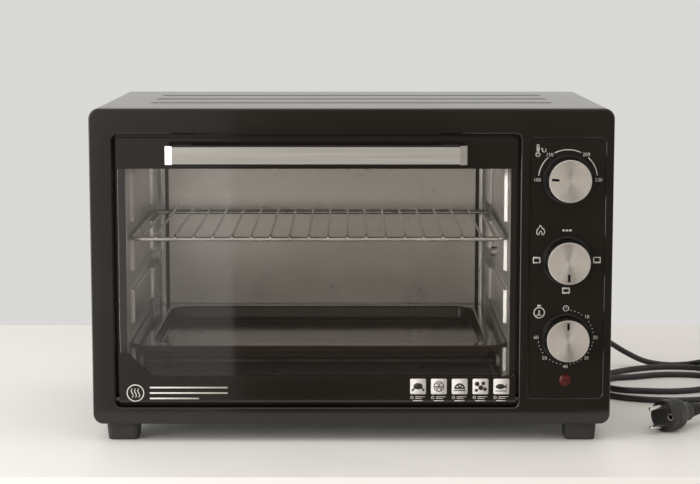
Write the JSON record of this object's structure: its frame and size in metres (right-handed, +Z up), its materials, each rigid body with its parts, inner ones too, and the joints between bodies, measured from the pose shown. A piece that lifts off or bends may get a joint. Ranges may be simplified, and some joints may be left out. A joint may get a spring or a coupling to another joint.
{
  "type": "toaster oven",
  "caption": "Black counter-top toaster oven with a drop-down glass door, wire rack, baking tray, metal-capped dials and a mains cord with a round plug.",
  "frame": {"origin": "on the counter under the centre of the box round the oven without its cord", "axes": "+Z up, -Y out of the front with the door and dials, +X to the right as seen from the front"},
  "size_m": [0.7077, 0.4156, 0.3277],
  "materials": {
    "satin_black_paint": "satin",
    "black_plastic": "matte",
    "gloss_black": "gloss",
    "aluminised_steel": "satin",
    "zinc_steel": "satin",
    "spun_metal": "satin",
    "brushed_trim": "satin",
    "chrome_wire": "gloss",
    "tray_enamel": "satin",
    "tinted_glass": "gloss",
    "ceramic": "matte",
    "element_steel": "matte",
    "brass_parts": "satin",
    "red_lens": "gloss",
    "amber_glass": "gloss",
    "cord_rubber": "satin",
    "foot_rubber": "matte",
    "wire_sheath": "satin",
    "cream_plastic": "matte",
    "nickel_plate": "gloss"
  },
  "bodies": {
    "oven": {"outer_shell": "satin_black_paint", "front_frame": "satin_black_paint", "back_panel": "satin_black_paint", "base_plate": "zinc_steel", "wall_spacers": "black_plastic", "feet": "foot_rubber", "foot_screws": "zinc_steel", "casing_screws": "zinc_steel", "cavity_left_wall": "aluminised_steel", "cavity_right_wall": "aluminised_steel", "cavity_back_wall": "aluminised_steel", "cavity_ceiling": "aluminised_steel", "cavity_floor": "aluminised_steel", "heat_shield": "zinc_steel", "control_panel": "satin_black_paint", "upper_heating_elements": "element_steel", "lower_heating_elements": "element_steel", "element_insulators": "ceramic", "crumb_tray": "aluminised_steel", "thermostat": "ceramic", "function_switch": "black_plastic", "timer_mechanism": "brass_parts", "timer_bell": "nickel_plate", "control_screws": "zinc_steel", "indicator_lens": "red_lens", "indicator_lamp": "amber_glass", "rotisserie_motor": "zinc_steel", "terminal_block": "cream_plastic", "thermal_fuse": "zinc_steel", "wiring_harness": "wire_sheath", "cord_gland": "cord_rubber", "power_cord": "cord_rubber", "plug_body": "cord_rubber", "plug_pins": "nickel_plate", "hinge_brackets": "zinc_steel", "door_springs": "zinc_steel"},
    "door": {"door_glass": "tinted_glass", "door_top_rail": "satin_black_paint", "door_bottom_rail": "satin_black_paint", "door_quadrants": "zinc_steel", "handle_grip": "black_plastic", "handle_trim": "brushed_trim", "handle_screws": "zinc_steel", "hinge_pins": "nickel_plate"},
    "temperature_control": {"temperature_dial": "gloss_black", "temperature_cap": "spun_metal", "temperature_shaft": "zinc_steel"},
    "function_control": {"function_dial": "gloss_black", "function_cap": "spun_metal", "function_shaft": "zinc_steel"},
    "timer_control": {"timer_dial": "gloss_black", "timer_cap": "spun_metal", "timer_shaft": "zinc_steel"},
    "rotisserie_drive": {"rotisserie_coupling": "nickel_plate"},
    "rack": {"wire_rack": "chrome_wire"},
    "tray": {"baking_tray": "tray_enamel"}
  },
  "joints": [
    {"name": "door_hinge", "type": "hinge", "parent": "oven", "child": "door", "pos_m": [-0.0332, -0.132, 0.042], "axis": [1, 0, 0], "range_deg": [0, 90]},
    {"name": "temperature_turn", "type": "hinge", "parent": "oven", "child": "temperature_control", "pos_m": [0.2083, -0.1375, 0.2585], "axis": [0, 1, 0], "range_deg": [0, 180]},
    {"name": "function_turn", "type": "hinge", "parent": "oven", "child": "function_control", "pos_m": [0.2083, -0.1375, 0.1795], "axis": [0, 1, 0], "range_deg": [-180, 90]},
    {"name": "timer_turn", "type": "hinge", "parent": "oven", "child": "timer_control", "pos_m": [0.2083, -0.1375, 0.104], "axis": [0, 1, 0], "range_deg": [0, 270]},
    {"name": "rotisserie_spin", "type": "hinge", "parent": "oven", "child": "rotisserie_drive", "pos_m": [0.15, 0.0125, 0.168], "axis": [1, 0, 0], "continuous": true},
    {"name": "rack_slide", "type": "slide", "parent": "oven", "child": "rack", "axis": [0, -1, 0], "range_m": [0, 0.2]},
    {"name": "tray_slide", "type": "slide", "parent": "oven", "child": "tray", "axis": [0, -1, 0], "range_m": [0, 0.1]}
  ],
  "couplings": [
    {"joint": "rack_slide", "follows": "door_hinge", "m_per_rad": 0.12732},
    {"joint": "tray_slide", "follows": "door_hinge", "m_per_rad": 0.063662}
  ]
}
